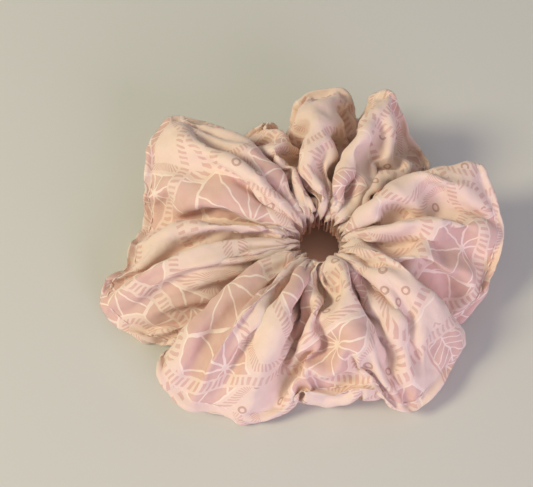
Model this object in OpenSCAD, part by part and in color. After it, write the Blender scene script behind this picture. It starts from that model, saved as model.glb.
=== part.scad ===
// Fabric scrunchie: a cotton tube gathered on a ring of flat elastic.
// The ring lies flat. The origin is the middle of the hair opening, half way up the elastic, and +Z is up.
// A scrunchie stretches all round, so its tube and its elastic are cut into equal gathers. Each gather is
// rigid, and slides from the one before it as the ring opens. The first gather holds the lapped ends of
// the elastic, and the closing seam of the tube lies between the last gather and the first.

/* [Hair opening] */
// Diameter of the relaxed opening
opening_d = 13; // [11:0.5:18]
// Height of the gathered wall round the opening
opening_h = 12; // [10:0.5:16]

/* [Elastic] */
// Diameter of the relaxed elastic ring, at the middle of its thickness
elastic_d = 26; // [22:0.5:34]
// Width of the elastic
elastic_w = 6; // [4:0.5:8]
// Thickness of the elastic
elastic_t = 1; // [0.7:0.1:1.6]
// Free space round the elastic in its channel
elastic_play = 0.4; // [0.3:0.05:0.8]

/* [Cover] */
// Flat width of the tube, from the fold at the elastic to the outer edge
tube_w = 60; // [48:1:72]
// Height of the elastic's middle above the surface that the ring lies on
rest_h = 17; // [12:0.5:24]
// Height of the tallest gather above the elastic's middle
crown_h = 21; // [16:0.5:28]
// Gap between neighbouring gathers
gather_gap = 0.3; // [0.2:0.05:0.5]

/* [Thread] */
// Diameter of the sewing thread
thread_d = 0.4; // [0.3:0.05:0.6]
// Free space round a thread
thread_play = 0.2; // [0.1:0.05:0.4]
// Space left at each end of a closing stitch
needle_space = 0.4; // [0.3:0.05:0.6]
// Distance of the long seam from the outer edge
seam_inset = 5; // [4:0.5:7]

/* [Hidden] */
$fn = 96;
gather_count = 16;
gather_angle = 360 / gather_count;
// Direction of the middle of the first gather, counted from +X
first_angle = 112.5;
// How far each gather lies out, as a share of the tube's flat width
spread = [
    0.56, 0.69, 0.82, 0.78, 0.98, 0.90, 0.79, 0.71,
    0.68, 0.76, 0.71, 0.80, 0.74, 0.65, 0.72, 0.66
];
// Height of each gather's crown, as a share of the tallest
crown = [
    0.72, 0.90, 0.95, 0.78, 0.62, 0.60, 0.62, 0.66,
    0.64, 0.68, 0.80, 0.98, 1.00, 0.90, 1.00, 0.86
];
// Height of each gather's outer edge above the resting surface, as a share of its whole height
edge_lift = [
    0.45, 0.55, 0.50, 0.45, 0.35, 0.30, 0.25, 0.30,
    0.30, 0.35, 0.40, 0.50, 0.60, 0.50, 0.60, 0.55
];
// Share of a gather's length at which its top is highest and its foot begins and ends
crown_at = 0.55;
foot_from = 0.30;
foot_to = 0.82;
// Radius of a gather's round end from above, as a share of its reach
petal_share = 0.3;
slope_steps = 5;
arc_step = 15;
opening_r = opening_d / 2;
elastic_r = elastic_d / 2;
closing_gap = thread_d + 3 * thread_play;
// Size of the closing seam's loop, as a share of the tube's outline there
closing_share = 0.93;
far = 2 * tube_w;
tall = 2 * (rest_h + crown_h);
// The lapped ends of the elastic: a second layer outside the first
lap_gap = 0.05;
lap_r = elastic_r + elastic_t + lap_gap;
join_bars = 5;
join_margin = 0.8;

cover_names = [for (i = [1:gather_count]) str("cover_gather_", two_digits(i))];
elastic_names = [for (i = [1:gather_count]) str("elastic_segment_", two_digits(i))];
seam_names = [for (i = [1:gather_count]) str("long_seam_thread_", two_digits(i))];

function two_digits(n) = str(n < 10 ? "0" : "", n);
function middle_angle(i) = first_angle + i * gather_angle;
function reach(i) = opening_r + spread[i] * tube_w;
function top_z(i) = crown[i] * crown_h;
function edge_z(i) = -rest_h + edge_lift[i] * (rest_h + top_z(i));
function ease(t) = t * t * (3 - 2 * t);
function mix(a, b, t) = a + (b - a) * t;
function radius_at(i, t) = mix(opening_r, reach(i), t);
function is_first(i) = i == 0;
function is_last(i) = i == gather_count - 1;

// Radial outline of a gather: the wall of the opening, the slope up to the crown, the round outer edge,
// and the foot that lies on the table.
function gather_outline(i) = concat(
    [[opening_r, -opening_h / 2]],
    [
        for (k = [0:slope_steps])
            [radius_at(i, crown_at * k / slope_steps), mix(opening_h / 2, top_z(i), ease(k / slope_steps))]
    ],
    [
        for (a = [arc_step:arc_step:90])
            [
                radius_at(i, crown_at + (1 - crown_at) * sin(a)),
                mix(edge_z(i), top_z(i), cos(a))
            ]
    ],
    [
        for (a = [90 - arc_step:-arc_step:0])
            [
                radius_at(i, foot_to + (1 - foot_to) * sin(a)),
                mix(edge_z(i), -rest_h, cos(a))
            ]
    ],
    [
        for (k = [slope_steps:-1:1])
            [radius_at(i, foot_from * k / slope_steps), mix(-opening_h / 2, -rest_h, ease(k / slope_steps))]
    ]
);

// A gather from above: a wedge with a round end.
module gather_plan(i) {
    end_r = petal_share * reach(i);
    end_x = reach(i) + 1 - end_r;
    translate([end_x, 0]) circle(end_r);
    polygon([[0, 0], [end_x, -end_r], [end_x, end_r]]);
}

// The space of gather i: what lies between its two radial planes, less half of the gap on each side.
module in_gather(i, extra = 0) {
    before = (is_first(i) ? closing_gap : gather_gap) / 2 + extra;
    after = (is_last(i) ? closing_gap : gather_gap) / 2 + extra;
    rotate([0, 0, middle_angle(i)])
        intersection() {
            rotate([0, 0, -middle_angle(i)]) children();
            rotate([0, 0, -gather_angle / 2]) translate([0, before, -tall / 2]) cube([far, far, tall]);
            rotate([0, 0, gather_angle / 2]) translate([0, -far - after, -tall / 2]) cube([far, far, tall]);
        }
}

// A flat band of the elastic's width, round the opening.
module band(r, thickness, width) {
    rotate_extrude() translate([r - thickness / 2, -width / 2]) square([thickness, width]);
}

// The line of the long seam, inside the outer edge of gather i.
module seam_line(i, d) {
    rotate_extrude() translate([reach(i) - seam_inset, edge_z(i)]) circle(d = d, $fn = 24);
}

// One gather of the cotton tube, with the channel of the elastic and the tunnel of the long seam.
module cover_gather(i) {
    color([0.91, 0.78, 0.71])
        in_gather(i)
            difference() {
                intersection() {
                    rotate_extrude() polygon(gather_outline(i));
                    rotate([0, 0, middle_angle(i)])
                        translate([0, 0, -tall / 2]) linear_extrude(tall) gather_plan(i);
                }
                band(elastic_r, elastic_t + 2 * elastic_play, elastic_w + 2 * elastic_play);
                if (is_first(i))
                    band(lap_r + thread_d, elastic_t + 2 * elastic_play + thread_d,
                         elastic_w + 2 * elastic_play);
                seam_line(i, thread_d + 2 * thread_play);
            }
}

// The stretch of elastic inside one gather.
module elastic_segment(i) {
    color([0.95, 0.94, 0.90]) in_gather(i) band(elastic_r, elastic_t, elastic_w);
}

// The other end of the elastic, lapped on the first gather's stretch and sewn to it.
module elastic_lapped_end() {
    color([0.95, 0.94, 0.90]) in_gather(0, join_margin / 2) band(lap_r, elastic_t, elastic_w);
}

// Zigzag stitches on the outside of the lapped end.
module elastic_join_thread() {
    bar_x = lap_r + elastic_t / 2 + thread_d / 2 + lap_gap;
    half_angle = gather_angle / 2 - asin((join_margin + thread_d) / elastic_r);
    bar_z = elastic_w / 2 - join_margin;
    lean = atan(elastic_r * sin(2 * half_angle / join_bars) / bar_z) / 2;
    color([0.98, 0.96, 0.93])
        for (k = [0:join_bars - 1]) {
            a = middle_angle(0) + mix(-half_angle, half_angle, (k + 0.5) / join_bars);
            rotate([0, 0, a])
                translate([bar_x, 0, 0])
                    rotate([k % 2 == 0 ? lean : -lean, 0, 0])
                        cylinder(d = thread_d, h = 2 * bar_z, center = true, $fn = 24);
        }
}

// The stretch of the long seam's thread inside one gather.
module long_seam_thread(i) {
    color([0.93, 0.85, 0.80]) in_gather(i) seam_line(i, thread_d);
}

// The stitches that close the tube, in the gap between the last gather and the first. They run round
// the tube, just inside the outline of the first gather.
module closing_seam_thread() {
    outline = gather_outline(0);
    middle = [(opening_r + reach(0)) / 2, (top_z(0) - rest_h) / 2];
    points = [for (p = outline) middle + closing_share * (p - middle)];
    count = len(points);
    color([0.98, 0.94, 0.90])
        rotate([0, 0, first_angle - gather_angle / 2])
            for (k = [0:count - 1]) closing_stitch(points[k], points[(k + 1) % count]);
}

// One stitch between two points of the closing seam's plane, given as radius and height, with a
// needle hole's space left at each end.
module closing_stitch(from, to) {
    run = to - from;
    translate([from[0], 0, from[1]])
        rotate([0, 90 - atan2(run[1], run[0]), 0])
            translate([0, 0, needle_space]) cylinder(d = thread_d, h = norm(run) - 2 * needle_space, $fn = 24);
}

for (i = [0:gather_count - 1]) {
    cover_gather(i);
    elastic_segment(i);
    long_seam_thread(i);
}
elastic_lapped_end();
elastic_join_thread();
closing_seam_thread();
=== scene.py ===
import math

import bmesh
import bpy
import numpy as np
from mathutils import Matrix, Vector
from numpy.linalg import norm


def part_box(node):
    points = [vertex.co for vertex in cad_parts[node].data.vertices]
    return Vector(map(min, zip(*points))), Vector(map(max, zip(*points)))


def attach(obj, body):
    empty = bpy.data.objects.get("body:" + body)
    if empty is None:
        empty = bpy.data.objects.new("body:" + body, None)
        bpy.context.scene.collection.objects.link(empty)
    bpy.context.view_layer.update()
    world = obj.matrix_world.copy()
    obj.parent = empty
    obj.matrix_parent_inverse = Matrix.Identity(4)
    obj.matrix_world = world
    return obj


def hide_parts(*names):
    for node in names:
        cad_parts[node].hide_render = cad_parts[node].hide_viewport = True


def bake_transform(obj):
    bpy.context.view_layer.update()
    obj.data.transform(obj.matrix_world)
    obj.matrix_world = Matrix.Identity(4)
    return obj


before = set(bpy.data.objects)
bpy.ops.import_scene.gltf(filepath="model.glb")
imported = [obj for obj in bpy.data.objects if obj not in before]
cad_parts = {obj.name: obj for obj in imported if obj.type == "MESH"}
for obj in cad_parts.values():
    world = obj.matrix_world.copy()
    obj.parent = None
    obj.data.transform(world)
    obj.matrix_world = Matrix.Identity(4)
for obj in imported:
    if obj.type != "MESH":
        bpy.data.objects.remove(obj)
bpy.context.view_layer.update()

# ==== Sizes, in metres and degrees

MM = 0.001
GATHERS = sum(name.startswith("cover_gather_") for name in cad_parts)
EVERY_GATHER = range(1, GATHERS + 1)
# Direction of the middle of gather 1, and the turn from each gather to the next.
FIRST_ANGLE = 112.5
GATHER_ANGLE = 360 / GATHERS
HALF_GATHER = math.radians(GATHER_ANGLE / 2)

# The table is as low as the lowest gather.
TABLE_Z = min(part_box(f"cover_gather_{k:02d}")[0][2] for k in EVERY_GATHER)

# The elastic: its width is taken from a node of its own. Its lapped end lies just outside the ring.
elastic_low, elastic_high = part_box("elastic_segment_01")
ELASTIC_W = elastic_high[2] - elastic_low[2]
ELASTIC_R = 13 * MM
ELASTIC_T = 1 * MM
LAP_GAP = 0.05 * MM
LAP_R = ELASTIC_R + ELASTIC_T + LAP_GAP

# The cotton tube: the width of the cloth round it, how finely it is made, and how far apart its
# layers lie. Row 0 is at the opening, and the rows run over the top and back underneath.
TUBE_ROUND = 122 * MM
COLUMNS = 396
ROWS = 90
PLEATS = 40
EDGE_ROW = ROWS // 2
HELD_ROWS = 2
CLOTH_GAP = 0.9 * MM
ROWS_AWAY = np.minimum(np.arange(ROWS), ROWS - np.arange(ROWS))

# The gathered cloth that lines the opening: its radius, half its height, and the room it is held in.
WALL_R = 9.2 * MM
WALL_Z = 3.9 * MM
HELD_ROOM = (6.1 * MM, ELASTIC_R - ELASTIC_T / 2 - 0.4 * MM)

THREAD_D = 0.4 * MM

# UV maps are 1 for 100 mm.
UV_PER_METRE = 10
UV_TO_MM = 100.0


# ==== The lie of the cloth

# The pressed outer edge of the tube, lobe by lobe and clockwise from the right-hand lobe: direction in
# degrees, distance from the opening's middle and height above the elastic's middle in millimetres.
EDGE_PATH = [
    # right lobe
    (27, 48, 11), (22, 52, 14), (16, 52, 9), (9, 53.5, 6), (4, 54.5, 2), (-4, 53, -1), (-12, 50.5, -4),
    (-17, 48, -7), (-24, 43, -13),
    # lower right lobe
    (-29, 45, -12), (-34, 49, -9), (-43, 51, -10), (-52, 53, -11), (-61, 54, -12), (-66, 51.5, -11),
    # front folds
    (-70, 47, -5), (-75, 45, -1), (-80, 44, -4), (-86, 45, -6), (-92, 44, -5), (-97, 43.5, -3),
    (-102, 46, -11),
    # lower left lobe
    (-109, 52, -14), (-116, 54, -13), (-122, 57, -12), (-129, 60, -10), (-135.5, 61.5, -8), (-140, 60, -5),
    (-144, 56, -5), (-147.5, 48, -11),
    # left spike
    (-151, 55, -13), (-156, 58.5, -13), (-160.5, 64, -14), (-164, 67, -13), (-169, 67, -9), (-172, 64.5, -5),
    (-176, 58, -8),
    # left lobe
    (177, 57, -5), (170, 55.5, -10),
    # upper left lobe
    (165, 55.5, -9), (161, 56.5, -2), (156, 57.5, 3), (150, 59.5, 5), (143, 62.5, 5), (137.5, 63, 7),
    (133, 58, 6), (128, 52, 0), (122, 47.5, -6),
    # small upper gather
    (117.5, 44.5, 2), (112.5, 44, 5), (108, 44.5, 2), (103, 44, -6),
    # top lobe
    (97.5, 46.5, 8), (91, 49.5, 10), (84, 50, 11), (77, 49.5, 8), (73.5, 48, -2),
    # upper right lobe
    (69, 49, 12), (63, 50, 17), (57, 46.5, 13), (52, 44, 8), (45, 44, 4), (37, 45, 0), (33, 41, -8),
    (29, 43, 2),
]

# Height of the upper layer half way out, lobe by lobe: direction in degrees, height in millimetres.
CROWN_PATH = [
    (-24, 3), (-12, 9), (2, 11), (20, 11), (28, 7), (32, -3), (37, 5), (42, 11), (48, 5), (65, 19), (74, 0),
    (84, 16), (95, 15), (103, 1), (113, 12), (123, 1), (132, 13), (144, 17), (156, 12), (167, 1), (176, 10),
    (185, 2), (196, 9), (210, -5), (219, 8), (232, 11), (246, 12), (256, 0), (263, 10), (268, 1), (276, 11),
    (286, 12), (294, 2), (306, 10), (320, 12), (328, 9),
]

# The corners of the edge are rounded over this length.
EDGE_ROUNDING = 3.5 * MM

# The underside is pressed this far into the table, which flattens it.
PRESS_DEPTH = 4.5 * MM

# How unevenly the cloth is laid: how high, in patches of how many cloth points, and how uneven the
# pleats' widths are.
CRUMPLE = 1.6 * MM
CRUMPLE_PATCH = 7
PLEAT_SPREAD = 0.4

# How far the cloth at the opening follows the edge's uneven spread.
EDGE_SHARE = 0.7

# The fine steps along a row over which its spacing is evened out.
SPACING_WINDOW = 41

# Folds that run out from the opening: the directions at the edge of their valleys and ridges, in turn,
# counter-clockwise from the valley between the right-hand lobe and the next.
FOLDS = [
    32, 40, 46, 53, 58, 66, 74, 83, 88, 95, 103, 107, 110, 114, 117, 120, 123, 130, 136, 144, 152, 159, 167,
    176, 184, 192, 198, 203, 210, 218, 224, 231, 238, 246, 256, 262, 268, 273, 278, 286, 294, 302, 308, 324,
    336, 346, 353, 363, 369, 380,
]


def spline(before, start, end, after, t):
    """A Catmull-Rom stretch from start to end, at t from 0 to 1."""
    return 0.5 * (
        2 * start
        + (end - before) * t
        + (2 * before - 5 * start + 4 * end - after) * t**2
        + (3 * start - before - 3 * end + after) * t**3
    )


def smoothed(values, width):
    """The closed run of values, smoothed over that many of them."""
    window = np.hanning(width)
    window /= window.sum()
    return np.convolve(np.tile(values, 3), window, "same")[len(values):2 * len(values)]


def rounded_polygon(corners, steps, rounding):
    """A closed line through the corners, in steps of even length, with its corners rounded over that
    length."""
    line, length = even_steps(corners, steps)
    width = max(3, int(rounding / length * steps)) | 1
    return np.stack([smoothed(line[:, axis], width) for axis in range(3)], 1)


def closed_line(points):
    """The points with the first again at the end, and the distance along the line to each."""
    closed = np.concatenate([points, points[:1]])
    return closed, np.concatenate([[0], np.cumsum(norm(np.diff(closed, axis=0), axis=1))])


def even_steps(curve, count):
    """The closed curve at equal steps along it, and its length."""
    closed, along = closed_line(curve)
    at = np.arange(count) / count * along[-1]
    return np.stack([np.interp(at, along, closed[:, axis]) for axis in range(3)], 1), along[-1]


def crown_height(angle):
    """Height of the upper layer half way out, in metres, for directions in radians."""
    turns, heights = zip(*CROWN_PATH)
    return np.interp(np.degrees(angle) % 360, turns, heights, period=360) * MM


def sections(stations, rows):
    """Smooth curves through lists of stations, one for each direction, at equal steps along each."""
    ends = [2 * stations[0] - stations[1]] + stations + [2 * stations[-1] - stations[-2]]
    curve = [spline(*ends[k:k + 4], t) for k in range(len(ends) - 3) for t in np.arange(10) / 10]
    curve = np.stack(curve + [ends[-2]], 1)
    along = np.concatenate([
        np.zeros((len(curve), 1)),
        np.cumsum(norm(np.diff(curve, axis=1), axis=2), 1),
    ], 1)
    share = np.linspace(0, 1, rows + 1)
    return np.array([
        [np.interp(share * a[-1], a, c[:, axis]) for axis in range(3)]
        for a, c in zip(along, curve)
    ]).transpose(0, 2, 1)


def zigzag(turns, spare):
    """Heights of a row of folds that take up the spare cloth at each point, and the folds' reach, for
    the places of the valleys and ridges in turn."""
    count = len(spare)
    along = np.concatenate([[0], np.cumsum(np.tile(spare, 3))])
    at = np.interp(np.concatenate([turns, turns[:1] + count]) % (2 * count), np.arange(3 * count + 1), along)
    slopes = np.abs(np.diff(at)) % along[count]
    reach = (slopes + np.roll(slopes, 1)) / 4
    side = np.where(np.arange(len(turns)) % 2, 1, -1)
    place = np.arange(count)
    return tuple(np.interp(place, turns, values, period=count) for values in (side * reach, reach))


def cloth_outward(points):
    """Outward direction at every cloth point, as long as four times the cloth it stands for."""
    lengthways = np.roll(points, -1, 0) - np.roll(points, 1, 0)
    across = np.roll(points, -1, 1) - np.roll(points, 1, 1)
    return np.cross(across, lengthways)


def cloth_normals(points):
    """Outward direction at every cloth point, 1 long."""
    outward = cloth_outward(points)
    return outward / (norm(outward, axis=2, keepdims=True) + 1e-12)


def crumples(rng, patch):
    """Uneven heights over the cloth, in patches that are that many cloth points wide."""
    heights = rng.standard_normal((COLUMNS // patch, ROWS // patch))
    for axis, count in ((0, COLUMNS), (1, ROWS)):
        place = np.arange(count) / count * heights.shape[axis]
        first = place.astype(int)
        share = place - first
        share = share * share * (3 - 2 * share)
        share = share.reshape((-1, 1) if axis == 0 else (1, -1))
        after = (first + 1) % heights.shape[axis]
        heights = np.take(heights, first, axis) * (1 - share) + np.take(heights, after, axis) * share
    return heights


def lay_cloth(fine=1600, seed=5):
    """The cotton tube as it is laid: pleated at the opening, and spread along its edge path."""
    rng = np.random.default_rng(seed)
    path = np.array(EDGE_PATH, float)
    turn = np.radians(path[:, 0])
    corners = np.stack([path[:, 1] * np.cos(turn), path[:, 1] * np.sin(turn), path[:, 2]], 1)[::-1] * MM
    edge, length = even_steps(rounded_polygon(corners, fine, EDGE_ROUNDING), fine)
    angle = np.arctan2(edge[:, 1], edge[:, 0])
    seam_angle = math.radians(FIRST_ANGLE - GATHER_ANGLE / 2)
    start = np.argmin(np.abs(np.angle(np.exp(1j * (angle - seam_angle)))))
    edge = np.roll(edge, -start, 0)
    angle = np.unwrap(np.roll(angle, -start))

    # At the opening the cloth is spread a little more evenly than at the edge.
    even = angle[0] + np.arange(fine) / fine * 2 * np.pi
    inner = even + EDGE_SHARE * smoothed(angle - even, fine // 7 * 2 + 1)
    inward = np.stack([np.cos(inner), np.sin(inner)], 1)

    # At the opening the folds give way to narrower, uneven pleats.
    turns = (np.degrees(angle) - FOLDS[0]) % 360 + FOLDS[0]
    wrap = np.argmin(turns)
    folds = np.interp(FOLDS, np.roll(turns, -wrap), np.arange(fine)) + wrap
    width = 1 + PLEAT_SPREAD * rng.standard_normal(2 * PLEATS).clip(-1.5, 1.5)
    pleats = (np.cumsum(width) - width[0]) / width.sum() * fine

    def station(share, height, wider=0):
        start = inward * (WALL_R + wider)
        flat = start + (edge[:, :2] - start) * share
        return np.column_stack([flat, np.broadcast_to(height, fine)])

    # From the opening outward: share of the way to the edge, height, and how much wider it starts.
    crown = crown_height(angle)
    rim = edge[:, 2]
    upper = [
        station(0, 0),
        station(0, WALL_Z, 0.3 * MM),
        station(0.07, WALL_Z + 0.35 * (crown - WALL_Z), MM),
        station(0.25, WALL_Z + 0.75 * (crown - WALL_Z)),
        station(0.5, crown),
        station(0.78, 0.55 * crown + 0.45 * rim),
        station(1, rim),
    ]
    lower = [
        station(0, 0),
        station(0, -WALL_Z, 0.3 * MM),
        station(0.07, -7 * MM, MM),
        station(0.25, -15 * MM),
        station(0.45, TABLE_Z - PRESS_DEPTH),
        station(0.8, 0.8 * TABLE_Z + 0.2 * rim - PRESS_DEPTH),
        station(1.02, np.maximum(TABLE_Z, 0.5 * TABLE_Z + 0.5 * rim - 1.5 * MM)),
        station(1, rim),
    ]
    layers = np.concatenate([sections(upper, EDGE_ROW), sections(lower, EDGE_ROW)[:, EDGE_ROW - 1:0:-1]], 1)

    points = np.zeros((COLUMNS, ROWS, 3))
    even_spacing = length / fine
    for row in range(ROWS):
        line = layers[:, row]
        across = layers[:, (row + 1) % ROWS] - layers[:, row - 1]
        outward = np.cross(across, np.roll(line, -6, 0) - np.roll(line, 6, 0))
        outward /= norm(outward, axis=1, keepdims=True) + 1e-9
        # The cloth that the line is too short for goes into the folds.
        spacing = smoothed(norm(np.roll(line, -1, 0) - line, axis=1), SPACING_WINDOW)
        spare = np.sqrt((even_spacing**2 - spacing**2).clip(0))
        share = np.interp(ROWS_AWAY[row] / EDGE_ROW, [0.1, 0.4], [0, 1])
        depth, reach = (
            (1 - share) ** 0.5 * narrow + share**0.5 * wide
            for narrow, wide in zip(zigzag(pleats, spare), zigzag(folds, spare))
        )
        # Under the scrunchie the folds stand up from the table.
        under = np.interp(row / ROWS, [0.5, 0.55, 0.85, 0.92], [0, 1, 1, 0])
        shaped = line + outward * (depth - under * reach)[:, None]
        points[:, row] = shaped[(np.arange(COLUMNS) * fine / COLUMNS).astype(int)]
    soft = np.interp(ROWS_AWAY / EDGE_ROW, [0.15, 0.35, 0.85, 1], [0, 1, 1, 0.2])
    points += cloth_normals(points) * (CRUMPLE * crumples(rng, CRUMPLE_PATCH) * soft)[..., None]
    points[..., 2] = np.maximum(points[..., 2], TABLE_Z)

    # The held rows are pressed between the opening and the elastic.
    held = ROWS_AWAY <= HELD_ROWS
    r = norm(points[:, held, :2], axis=2)
    points[:, held, :2] *= (r.clip(*HELD_ROOM) / r)[..., None]
    return points, length


# ==== The cloth settles

# How firmly the cloth keeps its square weave, and how stiff it is along and across the tube.
SHEAR_FIRMNESS = 0.8
STIFFNESS_ALONG = 0.03
STIFFNESS_ACROSS = 0.35
# Pressed together, cloth crumples more finely than its mesh can, so it gives way more than when pulled.
PRESS_FIRMNESS = 0.2
# How far the pressed edge is folded: 1 is flat, 0 is folded on itself.
EDGE_CREASE = 0.3
CREASE_FIRMNESS = 0.3

# Outward puff and weight of the cloth, in metres a second squared.
PUFF = 0.5
WEIGHT = 2.0
# How firmly the edge, and the rest of the cloth, are held where they were laid: at the start, part way
# and at the end.
EDGE_HOLD = (0.5, 0.5, 0.3)
BODY_HOLD = (0.03, 0.01, 0.002)

SETTLING_STEPS = 340
TICK = 1 / 900
TOP_SPEED = 0.6
# Share of the speed kept at each step, and of a point's slide along the table that is stopped.
SPEED_KEPT = 0.96
TABLE_GRIP = 0.3
# Points this much further apart than the cloth's gap are watched, and listed again every few steps.
WATCHED = 0.7 * MM
STEPS_BETWEEN_LISTS = 6
# Points that are too close move apart by the mean of their pushes times this.
PUSH = 1.2
ELASTIC_CLEARANCE = 0.5 * MM


def cloth_links(pitch_u, pitch_v):
    """Sets of pairs of cloth points that keep their distance: first point, second point, distance, and
    firmness when pulled and when pressed. No two pairs in a set share a point."""
    links = []
    columns, rows = np.arange(COLUMNS), np.arange(ROWS)

    def link(step_u, step_v, distance, firmness, pressed, sets):
        for column_set, row_set in sets:
            i, j = np.meshgrid(column_set, row_set, indexing="ij")
            first = i * ROWS + j
            second = ((i + step_u) % COLUMNS) * ROWS + (j + step_v) % ROWS
            links.append((first.ravel(), second.ravel(), distance, firmness, pressed))

    slant = math.hypot(pitch_u, pitch_v)
    halves = [(columns[0::2], rows), (columns[1::2], rows)]
    link(1, 0, pitch_u, 1, PRESS_FIRMNESS, halves)
    link(0, 1, pitch_v, 1, PRESS_FIRMNESS, [(columns, rows[0::2]), (columns, rows[1::2])])
    link(1, 1, slant, SHEAR_FIRMNESS, SHEAR_FIRMNESS * PRESS_FIRMNESS, halves)
    link(1, -1, slant, SHEAR_FIRMNESS, SHEAR_FIRMNESS * PRESS_FIRMNESS, halves)
    crease = rows[EDGE_ROW - 1:EDGE_ROW]
    link(0, 2, 2 * pitch_v * EDGE_CREASE, CREASE_FIRMNESS, CREASE_FIRMNESS, [(columns, crease)])
    return links


def unbend(grid, loose):
    """Straightens the cloth a little, both ways, except over its pressed edge."""
    for axis, firmness in ((0, STIFFNESS_ALONG), (1, STIFFNESS_ACROSS)):
        bow = (np.roll(grid, 1, axis) + np.roll(grid, -1, axis)) / 2 - grid
        if axis == 1:
            bow[:, EDGE_ROW] = 0
        grid += (firmness / 4) * loose * (2 * bow - np.roll(bow, 1, axis) - np.roll(bow, -1, axis))


def near_pairs(points, reach):
    """Pairs of cloth points within reach that aren't neighbours in the cloth."""
    count = len(points)
    cell = ((points - points.min(0) + reach) / reach).astype(np.int64)
    size = cell.max(0) + 3
    code = (cell[:, 0] * size[1] + cell[:, 1]) * size[2] + cell[:, 2]
    order = np.argsort(code, kind="stable")
    held = np.bincount(code, minlength=int(size.prod()))
    start = np.cumsum(held) - held
    around = (-1, 0, 1)
    ahead = [(x, y, z) for x in (0, 1) for y in around for z in around if (x, y, z) >= (0, 0, 0)]
    firsts, seconds = [], []
    for x, y, z in ahead:
        beside = np.clip(code + (x * size[1] + y) * size[2] + z, 0, len(held) - 1)
        number = held[beside]
        first = np.repeat(np.arange(count), number)
        inside = np.arange(number.sum()) - np.repeat(np.cumsum(number) - number, number)
        second = order[np.repeat(start[beside], number) + inside]
        keep = first < second if (x, y, z) == (0, 0, 0) else slice(None)
        firsts.append(first[keep])
        seconds.append(second[keep])
    first, second = np.concatenate(firsts), np.concatenate(seconds)
    gap = points[first] - points[second]
    keep = (gap * gap).sum(1) < reach * reach
    first, second = first[keep], second[keep]
    columns = np.abs(first // ROWS - second // ROWS)
    rows = np.abs(first % ROWS - second % ROWS)
    far = (np.minimum(columns, COLUMNS - columns) > 2) | (np.minimum(rows, ROWS - rows) > 2)
    return first[far], second[far]


def push_apart(points, first, second, gap, loose):
    """Moves pairs of points that are closer than their gap away from each other."""
    away = points[first] - points[second]
    distance = np.sqrt((away * away).sum(1)) + 1e-12
    close = distance < gap
    first, second = first[close], second[close]
    share = loose[first] + loose[second]
    move = ((gap[close] - distance[close]) / (distance[close] * share))[:, None] * away[close]
    count = len(points)
    times = np.maximum(np.bincount(first, minlength=count) + np.bincount(second, minlength=count), 1)
    for axis in range(3):
        total = np.bincount(first, move[:, axis] * loose[first], count)
        total -= np.bincount(second, move[:, axis] * loose[second], count)
        points[:, axis] += PUSH * total / times


def clear_elastic(points):
    """Moves cloth that has got into the elastic's space out over its nearer face."""
    r = np.hypot(points[:, 0], points[:, 1])
    out = np.abs(r - ELASTIC_R) - ELASTIC_T / 2 - ELASTIC_CLEARANCE
    up = np.abs(points[:, 2]) - ELASTIC_W / 2 - ELASTIC_CLEARANCE
    inside = (out < 0) & (up < 0)
    sideways = inside & (out > up)
    upright = inside & ~sideways
    side = np.where(r[sideways] > ELASTIC_R, 1, -1)
    scale = (r[sideways] - side * out[sideways]) / r[sideways]
    points[sideways, :2] *= scale[:, None]
    points[upright, 2] -= np.sign(points[upright, 2]) * up[upright]


def settle(cloth, length, steps):
    """Lets the laid cloth find its folds: it keeps its length, resists bending, stays clear of itself,
    the elastic and the table, and is held along its edge, loosely at the end."""
    links = cloth_links(length / COLUMNS, TUBE_ROUND / ROWS)
    points = cloth.reshape(-1, 3).copy()
    laid = points.copy()
    row = np.arange(len(points)) % ROWS
    loose = np.where(ROWS_AWAY[row] <= HELD_ROWS, 0.0, 1.0)
    rim = np.flatnonzero(row == EDGE_ROW)
    body = np.flatnonzero((ROWS_AWAY[row] > ROWS * 0.12) & (row != EDGE_ROW))
    speed = np.zeros_like(points)
    for step in range(steps):
        done = step / steps
        outward = cloth_outward(points.reshape(COLUMNS, ROWS, 3)).reshape(-1, 3)
        speed += outward / (4 * length / COLUMNS * TUBE_ROUND / ROWS) * (PUFF * TICK)
        speed[:, 2] -= WEIGHT * TICK
        speed *= SPEED_KEPT
        before = points.copy()
        points += speed * TICK * loose[:, None]
        points[rim] += (laid[rim] - points[rim]) * np.interp(done, [0, 0.5, 1], EDGE_HOLD)
        points[body] += (laid[body] - points[body]) * np.interp(done, [0, 0.3, 1], BODY_HOLD)
        if step % STEPS_BETWEEN_LISTS == 0:
            first, second = near_pairs(points, CLOTH_GAP + WATCHED)
            # Close to the opening the pleats have less room.
            r = np.hypot(points[:, 0], points[:, 1])
            room = np.minimum(CLOTH_GAP, 0.8 * math.pi * r / PLEATS)
            gap = np.minimum(room[first], room[second])
            moving = loose[first] + loose[second] > 0
            first, second, gap = first[moving], second[moving], gap[moving]
        for start, end, reach, pulled, pressed in links:
            a, b = points[start], points[end]
            run = b - a
            distance = np.sqrt((run * run).sum(1)) + 1e-12
            share = np.maximum(loose[start] + loose[end], 1)
            firmness = np.where(distance < reach, pressed, pulled)
            move = (firmness * (distance - reach) / (distance * share))[:, None] * run
            points[start] = a + move * loose[start][:, None]
            points[end] = b - move * loose[end][:, None]
        unbend(points.reshape(COLUMNS, ROWS, 3), loose.reshape(COLUMNS, ROWS, 1))
        push_apart(points, first, second, gap, loose)
        clear_elastic(points)
        low = points[:, 2] < TABLE_Z
        points[low, 2] = TABLE_Z
        points[low, :2] += (before[low, :2] - points[low, :2]) * TABLE_GRIP
        points[loose == 0] = laid[loose == 0]
        speed = (points - before) / TICK
        pace = norm(speed, axis=1)
        speed *= np.minimum(1, TOP_SPEED / np.maximum(pace, 1e-9))[:, None]
    return points.reshape(COLUMNS, ROWS, 3)


# ==== Node helpers

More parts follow.
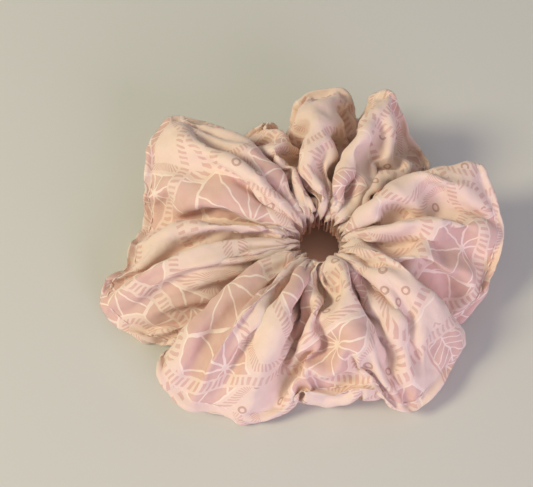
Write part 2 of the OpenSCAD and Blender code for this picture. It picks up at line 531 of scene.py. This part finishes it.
class Graph:
    """Adds nodes to a tree and wires them by socket name or number."""

    def __init__(self, tree):
        self.tree = tree

    def wire(self, node, sockets):
        for name, value in sockets.items():
            if isinstance(value, bpy.types.NodeSocket):
                self.tree.links.new(value, node.inputs[name])
            else:
                node.inputs[name].default_value = value

    def add(self, kind, sockets=None, **settings):
        node = self.tree.nodes.new(kind)
        for name, value in settings.items():
            setattr(node, name, value)
        self.wire(node, sockets or {})
        return node

    def math(self, operation, *values):
        return self.add("ShaderNodeMath", dict(enumerate(values)), operation=operation).outputs[0]

    def split(self, vector):
        return self.add("ShaderNodeSeparateXYZ", {0: vector}).outputs[:]

    def times(self, first, *others):
        for value in others:
            first = self.math("MULTIPLY", first, value)
        return first

    def less(self, first, second):
        return self.math("LESS_THAN", first, second)

    def largest(self, first, *others):
        for value in others:
            first = self.math("MAXIMUM", first, value)
        return first

    def noise(self, place, scale, detail, output="Fac", **sockets):
        sockets = {"Vector": place, "Scale": scale, "Detail": detail} | sockets
        return self.add("ShaderNodeTexNoise", sockets).outputs[output]

    def flat(self, uv_map):
        """The place on the flat piece, in millimetres."""
        return self.vector("SCALE", self.add("ShaderNodeUVMap", uv_map=uv_map).outputs[0], Scale=UV_TO_MM)

    def cells(self, place, scale, randomness, **settings):
        sockets = {"Vector": place, "Scale": scale, "Randomness": randomness}
        return self.add("ShaderNodeTexVoronoi", sockets, voronoi_dimensions="2D", **settings)

    def bump(self, height, strength, distance, **sockets):
        given = {"Height": height, "Strength": strength, "Distance": distance} | sockets
        return self.add("ShaderNodeBump", given).outputs[0]

    def vector(self, operation, *values, **named):
        sockets = dict(enumerate(values)) | named
        node = self.add("ShaderNodeVectorMath", sockets, operation=operation)
        return node.outputs["Value" if operation == "LENGTH" else "Vector"]

    def mix(self, share, first, second):
        node = self.add("ShaderNodeMix", {0: share, 6: first, 7: second}, data_type="RGBA")
        return node.outputs[2]


def node_group(kind, name, inputs, outputs):
    """A node group with (type, name, value) sockets."""
    tree = bpy.data.node_groups.new(name, kind)
    for sort, label, value in inputs:
        socket = tree.interface.new_socket(label, in_out="INPUT", socket_type=f"NodeSocket{sort}")
        if value is not None:
            socket.default_value = value
    for sort, label in outputs:
        tree.interface.new_socket(label, in_out="OUTPUT", socket_type=f"NodeSocket{sort}")
    graph = Graph(tree)
    return graph, graph.add("NodeGroupInput"), graph.add("NodeGroupOutput")


def material(name):
    """A new material, its graph and its Principled shader."""
    finish = bpy.data.materials.new(name)
    finish.use_nodes = True
    return finish, Graph(finish.node_tree), finish.node_tree.nodes["Principled BSDF"]


# ==== Finishes

def weave_group():
    """Plain weave: threads over and under each other. The vector is in millimetres."""
    g, given, out = node_group(
        "ShaderNodeTree", "plain_weave",
        [("Vector", "Vector", None), ("Float", "Thread Pitch", 0.35), ("Float", "Unevenness", 0.5)],
        [("Float", "Height"), ("Float", "Shade")],
    )
    place = given.outputs["Vector"]
    turns = g.math("DIVIDE", 2 * math.pi, given.outputs["Thread Pitch"])
    x, y = (g.times(axis, turns) for axis in g.split(place)[:2])
    over = g.times(g.math("SINE", x), g.math("SINE", y))
    slub = g.math("SUBTRACT", g.noise(place, 0.9, 3.0), 0.5)
    uneven = g.times(slub, given.outputs["Unevenness"])
    # Shade is painted shade: it darkens the colour where the threads dip under each other. It also follows
    # the slubs' uneven tone.
    g.wire(out, {
        "Height": g.math("ADD", g.times(over, 0.5), g.times(uneven, 2.0)),
        "Shade": g.math("MULTIPLY_ADD", over, 0.5, g.math("ADD", uneven, 0.5)),
    })
    return g.tree


# The print, in millimetres on the flat cloth. Each patch draws a number from 0 to 1 for its kind:
# below PLAIN_BELOW it is plain, then come star bursts, leaves and combs.
PLAIN_BELOW = 0.36
STAR_BELOW = 0.55
LEAF_BELOW = 0.80
PATCH_SCATTER = 0.85
TREMOR = 3.0
TREMOR_SCALE = 0.14
# Half a leaf's length is a share of the patch, and its edge line has a distance and a half width.
LEAF_LENGTH = 0.48
LEAF_WIDTH = 5.2
LEAF_EDGE = (0.8, 0.3)
VEIN_PITCH = 2.7
VEIN_SHARE = 0.17
VEIN_SLANT = 0.9
# A comb's band lies between two distances from the patch's border.
COMB_BAND = (1.0, 3.4)
COMB_STROKES = 7.5
# The wandering row: its pitch, its waves' length and height, the clear band's half width, and its
# strokes' half length, pitch and share.
ROW_PITCH = 41.0
ROW_WANDER = (11.0, 6.0)
ROW_BAND = 2.3
ROW_STROKE = (1.5, 1.7, 0.48)
# A ring's radius and half its line's width.
RING = (1.0, 0.32)
RING_PITCH = 8.0
RING_SCATTER = 0.7
RING_INSET = 3.6


def print_group():
    """The cloth's print, laid out in patches: rings on plain ground, star bursts, leaves and combs.
    The vector is in millimetres on the flat cloth. Ink is the dusty pink, and Line the pale line work."""
    g, given, out = node_group(
        "ShaderNodeTree", "patchwork_print",
        [("Vector", "Vector", None), ("Float", "Patch Size", 22.0), ("Float", "Line Width", 0.55)],
        [("Float", "Ink"), ("Float", "Line"), ("Float", "Ring")],
    )
    flat = given.outputs["Vector"]
    size = given.outputs["Patch Size"]
    line = given.outputs["Line Width"]
    half_line = g.times(line, 0.5)

    # Drawn by hand: nothing is quite straight.
    shift = g.vector("SUBTRACT", g.noise(flat, TREMOR_SCALE, 2.0, "Color"), (0.5, 0.5, 0.5))
    drawn = g.vector("ADD", flat, g.vector("SCALE", shift, Scale=TREMOR))

    scale = g.math("DIVIDE", 1.0, size)
    patch = g.cells(drawn, scale, PATCH_SCATTER)
    border = g.cells(drawn, scale, PATCH_SCATTER, feature="DISTANCE_TO_EDGE")
    inset = g.times(border.outputs["Distance"], size)
    chance = g.add("ShaderNodeSeparateColor", {0: patch.outputs["Color"]})
    kind, turn, spare = chance.outputs[:3]
    local = g.vector("SUBTRACT", drawn, patch.outputs["Position"])
    turned = {"Vector": local, "Angle": g.times(turn, 2 * math.pi)}
    local = g.add("ShaderNodeVectorRotate", turned, rotation_type="Z_AXIS").outputs[0]
    x, y, _ = g.split(local)
    r = g.vector("LENGTH", local)
    around = g.math("ARCTAN2", y, x)

    def between(value, low, high):
        return g.times(g.math("GREATER_THAN", value, low), g.less(value, high))

    def strokes(value, share):
        return g.less(g.math("FRACT", value), share)

    plain = between(kind, -1.0, PLAIN_BELOW)
    star = between(kind, PLAIN_BELOW, STAR_BELOW)
    leaf = between(kind, STAR_BELOW, LEAF_BELOW)
    combed = between(kind, LEAF_BELOW, 2.0)

    # Star bursts: inked patches with 8 to 12 pale spokes.
    spokes = g.math("FLOOR", g.math("ADD", g.times(spare, 3.0), 4.0))
    swing = g.math("ABSOLUTE", g.math("SINE", g.times(around, spokes)))
    spoke_gap = g.math("DIVIDE", g.times(swing, r), spokes)
    spoke = g.times(g.less(spoke_gap, half_line), star)

    # Leaves: a pointed inked blade with a pale midrib and side veins.
    along = g.math("DIVIDE", x, g.times(size, LEAF_LENGTH))
    blade = g.times(g.math("SUBTRACT", 1.0, g.times(along, along)), LEAF_WIDTH)
    side = g.math("ABSOLUTE", y)
    in_blade = g.times(g.less(side, blade), leaf)
    midrib = g.less(side, half_line)
    slanted = g.math("SUBTRACT", x, g.times(side, VEIN_SLANT))
    vein = strokes(g.math("DIVIDE", slanted, VEIN_PITCH), VEIN_SHARE)
    ribs = g.times(g.largest(midrib, vein), in_blade)
    outline = g.math("ABSOLUTE", g.math("SUBTRACT", side, g.math("ADD", blade, LEAF_EDGE[0])))
    leaf_edge = g.times(g.less(outline, LEAF_EDGE[1]), leaf)

    # Combs: short strokes side by side along a patch's border.
    stroke = strokes(g.times(around, COMB_STROKES), 0.5)
    comb = g.times(stroke, between(inset, *COMB_BAND), g.math("ADD", combed, plain))

    # A row of strokes that wanders along the cloth.
    lengthways, across, _ = g.split(drawn)
    wander = g.times(g.math("SINE", g.math("DIVIDE", lengthways, ROW_WANDER[0])), ROW_WANDER[1])
    row = g.math("DIVIDE", g.math("ADD", across, wander), ROW_PITCH)
    row = g.math("MULTIPLY_ADD", g.math("FRACT", row), ROW_PITCH, -ROW_PITCH / 2)
    row_inset = g.math("ABSOLUTE", row)
    row_stroke = strokes(g.math("DIVIDE", lengthways, ROW_STROKE[1]), ROW_STROKE[2])
    row_comb = g.times(g.less(row_inset, ROW_STROKE[0]), row_stroke)
    off_row = g.math("SUBTRACT", 1.0, g.less(row_inset, ROW_BAND))

    # Rings on the plain ground.
    dots = g.cells(flat, 1 / RING_PITCH, RING_SCATTER)
    ring_r = g.times(dots.outputs["Distance"], RING_PITCH)
    ring = g.less(g.math("ABSOLUTE", g.math("SUBTRACT", ring_r, RING[0])), RING[1])
    ring = g.times(ring, plain, g.math("GREATER_THAN", inset, RING_INSET), off_row)

    # Pale outlines round the inked patches.
    frame_line = g.times(g.less(inset, line), g.math("ADD", star, leaf))
    lines = g.times(g.largest(spoke, ribs, frame_line), off_row)

    ink = g.largest(star, in_blade, comb, leaf_edge)
    ink = g.largest(g.times(ink, off_row), row_comb)
    ink = g.times(ink, g.math("SUBTRACT", 1.0, lines))
    g.wire(out, {"Ink": ink, "Line": lines, "Ring": ring})
    return g.tree


# The two grounds, the print's colours, and where on the print the cloth was cut.
PEACH = (0.83, 0.655, 0.50, 1)
COOLER_PINK = (0.79, 0.60, 0.51, 1)
PALE = (0.90, 0.75, 0.625, 1)
DUSTY_PINK = (0.665, 0.415, 0.335, 1)
RING_PINK = (0.50, 0.29, 0.22, 1)
PRINT_OFFSET = (13.0, 29.0, 0.0)


def shaded(g, colour, share, depth, least):
    """The colour, darkened where the share is low."""
    return g.vector("SCALE", colour, Scale=g.math("MULTIPLY_ADD", share, depth, least))


def printed_cotton(weave, motifs):
    finish, g, shader = material("printed_cotton")
    flat = g.vector("ADD", g.flat("cloth"), PRINT_OFFSET)
    threads = g.add("ShaderNodeGroup", {"Vector": flat}, node_tree=weave)
    design = g.add("ShaderNodeGroup", {"Vector": flat}, node_tree=motifs)
    ground = g.mix(g.noise(flat, 0.03, 1.0), PEACH, COOLER_PINK)
    uneven_ink = g.noise(flat, 0.22, 3.0)
    ink_share = g.times(design.outputs["Ink"], g.math("MULTIPLY_ADD", uneven_ink, 0.7, 0.42))
    colour = g.mix(ink_share, ground, DUSTY_PINK)
    colour = g.mix(g.times(design.outputs["Line"], 0.65), colour, PALE)
    colour = g.mix(g.times(design.outputs["Ring"], 0.75), colour, RING_PINK)
    folds = g.bump(g.noise(flat, 0.25, 4.0, Roughness=0.55), 0.35, 0.9 * MM)
    g.wire(shader, {
        # The threads' Shade darkens the colour a little where they dip under each other. This is painted
        # shade, along with the slubs' tone.
        "Base Color": shaded(g, colour, threads.outputs["Shade"], 0.07, 0.95),
        "Roughness": g.math("MULTIPLY_ADD", design.outputs["Ink"], -0.06, 0.9),
        "Specular IOR Level": 0.25,
        "Sheen Weight": 0.25,
        "Sheen Roughness": 0.45,
        # Light passes a little way through the thin cloth.
        "Subsurface Weight": 0.15,
        "Subsurface Radius": (1.0, 0.55, 0.35),
        "Subsurface Scale": 2.5 * MM,
        "Normal": g.bump(threads.outputs["Height"], 0.3, 0.06 * MM, Normal=folds),
    })
    return finish


def braided_elastic():
    finish, g, shader = material("braided_elastic")
    along, across, _ = g.split(g.flat("band"))
    zigzag = g.math("PINGPONG", across, 0.45)
    braid = g.math("SINE", g.times(g.math("ADD", along, zigzag), 9.0))
    g.wire(shader, {
        # Darkened a little where the braid is low: painted shade in its grooves.
        "Base Color": shaded(g, (0.80, 0.78, 0.73), braid, 0.04, 0.95),
        "Roughness": 0.8,
        "Sheen Weight": 0.2,
        "Normal": g.bump(braid, 0.6, 0.12 * MM),
    })
    return finish


def sewing_thread():
    finish, g, shader = material("sewing_thread")
    place = g.add("ShaderNodeTexCoord").outputs["Object"]
    twist = g.noise(place, 2500.0, 2.0)
    g.wire(shader, {
        # Darker where the twist is low: painted shade in its grooves.
        "Base Color": shaded(g, (0.86, 0.71, 0.62), twist, 0.3, 0.82),
        "Roughness": 0.65,
        "Normal": g.bump(twist, 0.5, 0.08 * MM),
    })
    return finish


cotton = printed_cotton(weave_group(), print_group())
elastic = braided_elastic()
thread = sewing_thread()


# ==== Gathers: each piece runs from the middle of one gather to the middle of the next


def middle_angle(k):
    """Direction of the middle of gather k, in radians."""
    return math.radians(FIRST_ANGLE + (k - 1) * GATHER_ANGLE)


def gather_of(points):
    """The piece, from 1, in whose stretch each point lies."""
    angle = np.degrees(np.arctan2(points[:, 1], points[:, 0]))
    return (np.floor((angle - FIRST_ANGLE) / GATHER_ANGLE).astype(int) % GATHERS) + 1


def stretch_with(piece):
    """Bakes the piece's placement into its mesh."""
    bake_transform(piece)


def show(thing):
    bpy.context.collection.objects.link(thing)


def new_piece(name, mesh, finish):
    piece = bpy.data.objects.new(name, mesh)
    show(piece)
    mesh.materials.clear()
    mesh.materials.append(finish)
    return piece


# ==== The cotton cover

# The long seam runs just inside the pressed edge, on the upper layer.
SEAM_ROW = EDGE_ROW - 2

# How deep the seam draws the cloth in, and over how many of the finer rows to each side.
SEAM_DEPTH = 0.45 * MM
SEAM_ROWS = 1.1

# Sizes of the small creases' facets in millimetres, and their slopes.
CREASES = [(12, 0.11), (5, 0.075)]


def finer(points, axis):
    """Twice as many points, on smooth curves through the given ones."""
    nearer = points + np.roll(points, -1, axis)
    further = np.roll(points, 1, axis) + np.roll(points, -2, axis)
    both = np.stack([points, (9 * nearer - further) / 16], axis + 1)
    shape = list(points.shape)
    shape[axis] *= 2
    return both.reshape(shape)


def facets(shape, length, size, rng):
    """Distance in metres from the nearest of many scattered places: shallow facets with sharp lines."""
    cells_u = round(length / size)
    cells_v = round(TUBE_ROUND / size)
    scatter = rng.random((cells_u, cells_v, 2))
    u, v = np.meshgrid(
        np.arange(shape[0]) / shape[0] * cells_u, np.arange(shape[1]) / shape[1] * cells_v, indexing="ij"
    )
    nearest = np.full(u.shape, 9.0)
    for right in (-1, 0, 1):
        for up in (-1, 0, 1):
            a = np.floor(u).astype(int) + right
            b = np.floor(v).astype(int) + up
            place = scatter[a % cells_u, b % cells_v]
            nearest = np.minimum(nearest, np.hypot(a + place[..., 0] - u, b + place[..., 1] - v))
    return nearest * size


def creased(points, length, seed=11):
    """The cloth with the small sharp creases of handled cotton, except where it is held."""
    rng = np.random.default_rng(seed)
    shape = points.shape[:2]
    height = sum(
        slope * (facets(shape, length, size * MM, rng) - facets(shape, length, size * MM, rng))
        for size, slope in CREASES
    )
    row = np.arange(shape[1])
    away = np.minimum(row, shape[1] - row) / shape[1]
    height *= np.interp(away, [0.06, 0.12], [0, 1])
    # The long seam draws the cloth in along a narrow line.
    height -= SEAM_DEPTH * np.exp(-((row - 2 * SEAM_ROW) / SEAM_ROWS) ** 2)
    points = points + cloth_normals(points) * height[..., None]
    points[..., 2] = np.maximum(points[..., 2], TABLE_Z)
    return points


def cloth_surface(points, length):
    """The whole cover as one mesh, with the flat cloth's coordinates in its UV map."""
    points = creased(finer(finer(points, 0), 1), length)
    count_u, count_v = points.shape[:2]
    columns, rows = np.meshgrid(np.arange(count_u), np.arange(count_v), indexing="ij")

    def corner(right, up):
        index = (columns + right) % count_u * count_v + (rows + up) % count_v
        u = (columns + right) * length / count_u
        v = ((rows - 2 * SEAM_ROW) % count_v + up) * TUBE_ROUND / count_v
        return index.ravel(), np.stack([u.ravel(), v.ravel()], 1) * UV_PER_METRE

    corners = [corner(0, 0), corner(0, 1), corner(1, 1), corner(1, 0)]
    faces = np.stack([index for index, _ in corners], 1)
    flat = np.stack([uv for _, uv in corners], 1)
    mesh = bpy.data.meshes.new("cloth_surface")
    mesh.from_pydata(points.reshape(-1, 3).tolist(), [], faces.tolist())
    mesh.uv_layers.new(name="cloth").data.foreach_set("uv", flat.ravel())
    return mesh


def read(items, name, width=1, kind=float):
    """One attribute of all the items, as an array."""
    values = np.empty(len(items) * width, kind)
    items.foreach_get(name, values)
    return values if width == 1 else values.reshape(-1, width)


def cut_cloth(mesh):
    """Cuts the cover through the middle of every gather: a mesh and its flat area for each stretch."""
    cutter = bmesh.new()
    cutter.from_mesh(mesh)
    for k in range(1, GATHERS // 2 + 1):
        a = middle_angle(k)
        everything = cutter.verts[:] + cutter.edges[:] + cutter.faces[:]
        facing = (-math.sin(a), math.cos(a), 0)
        bmesh.ops.bisect_plane(cutter, geom=everything, dist=1e-7, plane_co=(0, 0, 0), plane_no=facing)
    cutter.to_mesh(mesh)
    cutter.free()
    points = read(mesh.vertices, "co", 3)
    normals = read(mesh.vertex_normals, "vector", 3)
    loops = read(mesh.loops, "vertex_index", kind=int)
    uv = read(mesh.uv_layers["cloth"].data, "uv", 2)
    first = read(mesh.polygons, "loop_start", kind=int)
    number = read(mesh.polygons, "loop_total", kind=int)
    owner = gather_of(read(mesh.polygons, "center", 3))
    meshes = []
    for k in EVERY_GATHER:
        faces = np.flatnonzero(owner == k)
        picked = np.concatenate([np.arange(first[f], first[f] + number[f]) for f in faces])
        used, renumbered = np.unique(loops[picked], return_inverse=True)
        ends = np.cumsum(number[faces])
        part = bpy.data.meshes.new(f"cotton_gather_{k:02d}")
        part.from_pydata(points[used].tolist(), [], [list(f) for f in np.split(renumbered, ends[:-1])])
        part.uv_layers.new(name="cloth").data.foreach_set("uv", uv[picked].ravel())
        part.polygons.foreach_set("use_smooth", np.ones(len(faces), bool))
        part.normals_split_custom_set_from_vertices(normals[used])
        meshes.append((part, flat_area(uv[picked], ends)))
    return meshes


def flat_area(uv, ends):
    """Area of the flat cloth in faces given by their corners in turn, in square metres."""
    uv = uv / UV_PER_METRE
    starts = np.concatenate([[0], ends[:-1]])
    following = np.arange(len(uv)) + 1
    following[ends - 1] = starts
    return abs((uv[:, 0] * uv[following, 1] - uv[following, 0] * uv[:, 1]).sum()) / 2


cloth, cloth_length = lay_cloth()
cloth = settle(cloth, cloth_length, SETTLING_STEPS)

for k, (mesh, area) in enumerate(cut_cloth(cloth_surface(cloth, cloth_length)), 1):
    cover = new_piece(f"cotton_gather_{k:02d}", mesh, cotton)
    stretch_with(cover)
    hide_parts(f"cover_gather_{k:02d}")


# ==== The elastic

CORDS = 8
RIB = 0.13 * MM
RING_STEPS = 12
LAP_STEPS = 10


def band_mesh(name, radius, start, end, steps):
    """A stretch of flat elastic between two directions: a ribbed strip on edge, closed at its ends."""
    across = np.linspace(-1, 1, 6 * CORDS + 1)
    rib = np.abs(np.sin(across * CORDS * np.pi / 2)) * RIB
    half = ELASTIC_T / 2 - RIB
    shoulder = np.sqrt(np.clip(1 - across**8, 0, 1))
    outer, inner = (
        np.stack([radius + side * (half + rib) * shoulder, across * ELASTIC_W / 2], 1) for side in (1, -1)
    )
    profile = np.concatenate([outer, inner[-2:0:-1]])
    count = len(profile)
    turns = np.linspace(start, end, steps + 1)
    points = [(r * math.cos(a), r * math.sin(a), z) for a in turns for r, z in profile]
    faces = []
    flat = []
    v = closed_line(profile)[1] * UV_PER_METRE
    u = turns * radius * UV_PER_METRE
    for s in range(steps):
        for k in range(count):
            after = (k + 1) % count
            faces.append((s * count + k, (s + 1) * count + k, (s + 1) * count + after, s * count + after))
            flat += [(u[s], v[k]), (u[s + 1], v[k]), (u[s + 1], v[k + 1]), (u[s], v[k + 1])]
    faces.append(tuple(range(count)))
    faces.append(tuple(steps * count + k for k in reversed(range(count))))
    flat += [(u[0], end) for end in v[:-1]]
    flat += [(u[-1], end) for end in v[:-1][::-1]]
    mesh = bpy.data.meshes.new(name)
    mesh.from_pydata(points, [], faces)
    mesh.uv_layers.new(name="band").data.foreach_set("uv", np.array(flat).ravel())
    mesh.polygons.foreach_set("use_smooth", [True] * (len(faces) - 2) + [False, False])
    return mesh


for k in EVERY_GATHER:
    name = f"elastic_stretch_{k:02d}"
    band = band_mesh(name, ELASTIC_R, middle_angle(k), middle_angle(k + 1), RING_STEPS)
    strip = new_piece(name, band, elastic)
    stretch_with(strip)
    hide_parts(f"elastic_segment_{k:02d}")

LAP_MARGIN = 0.9 * MM
lap_turn = HALF_GATHER - LAP_MARGIN / LAP_R
lap_mesh = band_mesh("elastic_lap", LAP_R, middle_angle(1) - lap_turn, middle_angle(1) + lap_turn, LAP_STEPS)
lap = new_piece("elastic_lap", lap_mesh, elastic)
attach(lap, "gather_01")
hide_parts("elastic_lapped_end")


# ==== Threads

def stitch_tree():
    """Stitches set out along a line of edges: each a spindle of thread that lies along the line."""
    # The modifier hands its mesh to the first input.
    g, source, out = node_group(
        "GeometryNodeTree", "stitch_line",
        [
            ("Geometry", "Geometry", None),
            ("Float", "Stitch Length", 2.2 * MM),
            ("Float", "Stitch Pitch", 3 * MM),
            ("Float", "Thread Thickness", THREAD_D),
            ("Material", "Thread Finish", None),
        ],
        [("Geometry", "Geometry")],
    )
    given = source.outputs
    thickness = given["Thread Thickness"]
    path = g.add("GeometryNodeMeshToCurve", {"Mesh": given["Geometry"]}).outputs[0]
    spacing = {"Curve": path, "Length": given["Stitch Pitch"]}
    places = g.add("GeometryNodeCurveToPoints", spacing, mode="LENGTH")
    spindle = g.add("GeometryNodeMeshUVSphere", {"Segments": 8, "Rings": 6, "Radius": 0.5})
    size = g.add("ShaderNodeCombineXYZ", {0: thickness, 1: thickness, 2: given["Stitch Length"]})
    sewn = g.add("GeometryNodeInstanceOnPoints", {
        "Points": places.outputs["Points"],
        "Instance": spindle.outputs["Mesh"],
        "Rotation": places.outputs["Rotation"],
        "Scale": size.outputs[0],
    })
    shape = sewn.outputs[0]
    for step in ("RealizeInstances", "SetShadeSmooth", "SetMaterial"):
        last = g.add("GeometryNode" + step, {"Geometry": shape})
        shape = last.outputs[0]
    g.wire(last, {"Material": given["Thread Finish"]})
    g.wire(out, {0: shape})
    return g.tree


STITCH_LINE = stitch_tree()

# How deep the long seam's thread lies, and how high the others stand, in thread thicknesses.
SEAM_SUNK = 0.9
CLOSING_RAISED = 0.3
JOIN_RAISED = 0.4

# Length and pitch of each seam's stitches.
LONG_SEAM = (2.0 * MM, 2.5 * MM)
CLOSING_SEAM = (2.0 * MM, 2.7 * MM)
JOIN = (1.3 * MM, 1.35 * MM)


def sewn_piece(name, points, edges, length, pitch):
    """A line of stitches, as one plain mesh."""
    mesh = bpy.data.meshes.new(name)
    mesh.from_pydata([tuple(p) for p in points], edges, [])
    guide = bpy.data.objects.new(name + "_line", mesh)
    show(guide)
    sewing = guide.modifiers.new("stitches", "NODES")
    sewing.node_group = STITCH_LINE
    values = {"Stitch Length": length, "Stitch Pitch": pitch, "Thread Finish": thread}
    for item in STITCH_LINE.interface.items_tree:
        if item.in_out == "INPUT" and item.name in values:
            sewing[item.identifier] = values[item.name]
    graph = bpy.context.evaluated_depsgraph_get()
    stitches = bpy.data.meshes.new_from_object(guide.evaluated_get(graph))
    stitches.name = name
    bpy.data.objects.remove(guide)
    piece = new_piece(name, stitches, thread)
    return piece


outward = cloth_normals(cloth)

# The long seam is sewn inside out, so its stitches lie just under the cloth.
seam_path = cloth[:, SEAM_ROW] - outward[:, SEAM_ROW] * THREAD_D * SEAM_SUNK
seam_owner = gather_of(seam_path)
for k in EVERY_GATHER:
    picked = np.flatnonzero(seam_owner == k)
    place = {column: number for number, column in enumerate(picked)}
    edges = [(place[c], place[(c + 1) % COLUMNS]) for c in picked if (c + 1) % COLUMNS in place]
    seam = sewn_piece(f"long_seam_stitches_{k:02d}", seam_path[picked], edges, *LONG_SEAM)
    stretch_with(seam)
    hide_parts(f"long_seam_thread_{k:02d}")

# The closing seam is top stitched round the tube.
closing_path = cloth[0] + outward[0] * THREAD_D * CLOSING_RAISED
closing_edges = [(row, (row + 1) % ROWS) for row in range(ROWS)]
closing = sewn_piece("closing_seam_stitches", closing_path, closing_edges, *CLOSING_SEAM)
stretch_with(closing)
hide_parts("closing_seam_thread")

# Zigzag stitches through the lapped ends of the elastic.
ZIGZAGS = 6
face_r = LAP_R + ELASTIC_T / 2 + THREAD_D * JOIN_RAISED
corners = [
    (face_r * math.cos(a), face_r * math.sin(a), (ELASTIC_W / 2 - MM) * (-1) ** n)
    for n, a in enumerate(middle_angle(1) + np.linspace(-0.8, 0.8, ZIGZAGS) * lap_turn)
]
join_edges = [(n, n + 1) for n in range(ZIGZAGS - 1)]
join = sewn_piece("elastic_join_stitches", corners, join_edges, *JOIN)
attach(join, "gather_01")
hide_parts("elastic_join_thread")


# ==== Table, light and camera

TABLE_HALF = 2.0


def table_top():
    corners = [(x * TABLE_HALF, y * TABLE_HALF, TABLE_Z) for x, y in ((-1, -1), (1, -1), (1, 1), (-1, 1))]
    mesh = bpy.data.meshes.new("table")
    mesh.from_pydata(corners, [], [(0, 1, 2, 3)])
    finish, g, shader = material("table")
    g.wire(shader, {"Base Color": (0.605, 0.60, 0.53, 1), "Roughness": 0.7})
    top = bpy.data.objects.new("table", mesh)
    show(top)
    mesh.materials.append(finish)


def lamp(name, kind, place, power, colour):
    light = bpy.data.lights.new(name, kind)
    light.energy = power
    light.color = colour
    holder = bpy.data.objects.new(name, light)
    holder.location = place
    show(holder)
    return holder


def soft_light(name, place, size, power, colour):
    """A round soft light that faces the opening."""
    holder = lamp(name, "AREA", place, power, colour)
    holder.data.shape = "DISK"
    holder.data.size = size
    holder.rotation_euler = (-Vector(place)).to_track_quat("-Z", "Y").to_euler()


table_top()
soft_light("window", (-0.90, -0.20, 0.78), 0.42, 9.8, (1.0, 0.925, 0.69))
soft_light("sky", (0.42, -0.72, 0.26), 0.6, 4.6, (0.79, 0.68, 1.0))

# Light that comes through the thin cotton, and leaves the bottom of the opening a warm brown.
glow = lamp("through_the_cotton", "POINT", (0, 0, -9 * MM), 0.0006, (1.0, 0.42, 0.28))
glow.data.shadow_soft_size = 2 * MM
glow.visible_camera = False

world = bpy.data.worlds.new("room")
world.use_nodes = True
room = Graph(world.node_tree)
room.wire(world.node_tree.nodes["Background"], {"Color": (0.93, 0.93, 1.0, 1), "Strength": 0.39})
bpy.context.scene.world = world
bpy.context.scene.view_settings.view_transform = "Standard"

# The camera looks down on the scrunchie from the front, with the opening a little right of the middle.
CAMERA_TILT = math.radians(62)
CAMERA_AWAY = 0.25
AIM = Vector((-0.0156, 0.0, 0.0))
camera = bpy.data.cameras.new("camera")
camera.lens = 57.4
camera.clip_start = 0.01
viewer = bpy.data.objects.new("camera", camera)
line_of_sight = Vector((0, -math.cos(CAMERA_TILT), math.sin(CAMERA_TILT)))
viewer.location = AIM + line_of_sight * CAMERA_AWAY
viewer.rotation_euler = (-line_of_sight).to_track_quat("-Z", "Y").to_euler()
show(viewer)
bpy.context.scene.camera = viewer
